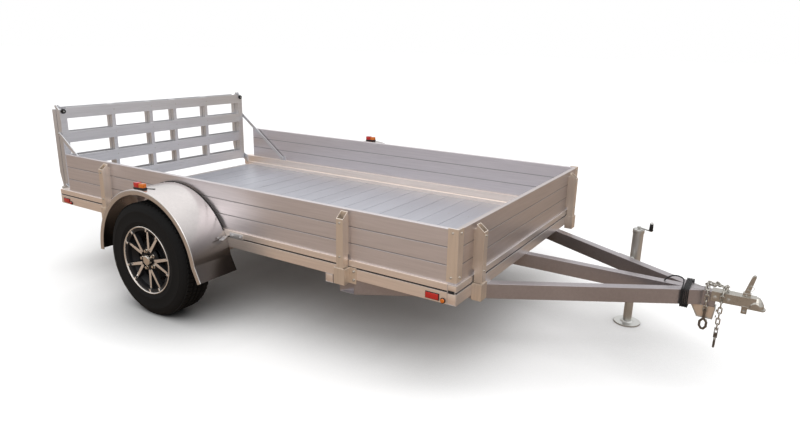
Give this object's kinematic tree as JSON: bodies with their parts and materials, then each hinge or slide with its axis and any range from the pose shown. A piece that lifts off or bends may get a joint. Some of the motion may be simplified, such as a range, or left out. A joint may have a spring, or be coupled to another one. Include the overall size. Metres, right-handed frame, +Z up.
{
  "type": "single-axle aluminium utility trailer",
  "caption": "Open aluminium box trailer with plank walls, stakes, bi-fold rear gate, round fenders, alloy wheels, three-beam tongue, ball coupler, safety chains and a tongue jack.",
  "frame": {"origin": "on the ground, under the middle of the whole length and width", "axes": "+X forward to the coupler, +Y left, +Z up"},
  "size_m": [4.488, 2.38, 1.13],
  "materials": {
    "aluminium": "mill finish, warm grey",
    "amber_lens": "clear amber",
    "black_plastic": "black",
    "black_rubber": "matt black",
    "chrome": "polished",
    "galvanised": "galvanised",
    "jack_steel": "zinc plated",
    "polished": "bright satin",
    "red_lens": "clear red",
    "tyre": "matt black rubber",
    "wheel_alloy": "machined faces",
    "zinc": "zinc plated"
  },
  "bodies": {
    "chassis": {"axle_arms": "galvanised", "axle_brackets": "galvanised", "axle_tube": "galvanised", "cable_coil": "black_rubber", "cable_run": "black_rubber", "chain_anchors": "zinc", "chain_hooks": "zinc", "corner_posts": "aluminium", "coupler": "zinc", "coupler_latch": "zinc", "coupler_socket": "zinc", "crossmembers": "aluminium", "fender_left": "polished", "fender_right": "polished", "floor_planks": "aluminium", "floor_stringers": "aluminium", "front_rail": "aluminium", "front_wall": "aluminium", "gate_hinges": "aluminium", "jack_mount": "jack_steel", "lamps_amber": "amber_lens", "lamps_red": "red_lens", "marker_lamps_rear": "black_plastic", "nose_bracket": "aluminium", "rear_sill": "aluminium", "safety_chains": "zinc", "side_rail_left": "aluminium", "side_rail_right": "aluminium", "side_wall_left": "aluminium", "side_wall_right": "aluminium", "stake_pockets": "aluminium", "strut_brackets": "aluminium", "tongue_beam_left": "aluminium", "tongue_beam_right": "aluminium", "tongue_centre_beam": "aluminium", "wall_stakes": "aluminium"},
    "wheel_right": {"tyre_right": "tyre", "rim_right": "wheel_alloy", "hub_right": "chrome"},
    "wheel_left": {"tyre_left": "tyre", "rim_left": "wheel_alloy", "hub_left": "chrome"},
    "gate_lower": {"gate_lower_leaf": "aluminium", "gate_bumpers": "black_rubber"},
    "gate_upper": {"gate_upper_leaf": "aluminium"},
    "strut_right": {"strut_right": "aluminium"},
    "strut_left": {"strut_left": "aluminium"},
    "jack": {"jack_tube": "jack_steel"},
    "jack_foot": {"jack_leg": "jack_steel"}
  },
  "joints": [
    {"name": "wheel_right_spin", "type": "hinge", "parent": "chassis", "child": "wheel_right", "pos_m": [-0.863, -1.086, 0.344], "axis": [0, 1, 0], "continuous": true},
    {"name": "wheel_left_spin", "type": "hinge", "parent": "chassis", "child": "wheel_left", "pos_m": [-0.863, 1.086, 0.344], "axis": [0, 1, 0], "continuous": true},
    {"name": "gate_tilt", "type": "hinge", "parent": "chassis", "child": "gate_lower", "pos_m": [-2.172, 0, 0.545], "axis": [0, -1, 0], "range_deg": [0, 118]},
    {"name": "gate_fold", "type": "hinge", "parent": "gate_lower", "child": "gate_upper", "pos_m": [-2.197, 0, 1.117], "axis": [0, 1, 0], "range_deg": [0, 180]},
    {"name": "strut_right_fold", "type": "hinge", "parent": "chassis", "child": "strut_right", "pos_m": [-1.675, -0.872, 0.562], "axis": [0, 1, 0], "range_deg": [0, 137]},
    {"name": "strut_left_fold", "type": "hinge", "parent": "chassis", "child": "strut_left", "pos_m": [-1.675, 0.872, 0.562], "axis": [0, 1, 0], "range_deg": [0, 137]},
    {"name": "jack_swivel", "type": "hinge", "parent": "chassis", "child": "jack", "pos_m": [1.56001, 0.36485, 0.401], "axis": [0.512, 0.859, 0], "range_deg": [0, 90]},
    {"name": "jack_lift", "type": "slide", "parent": "jack", "child": "jack_foot", "axis": [0, 0, 1], "range_m": [0, 0.24]}
  ]
}
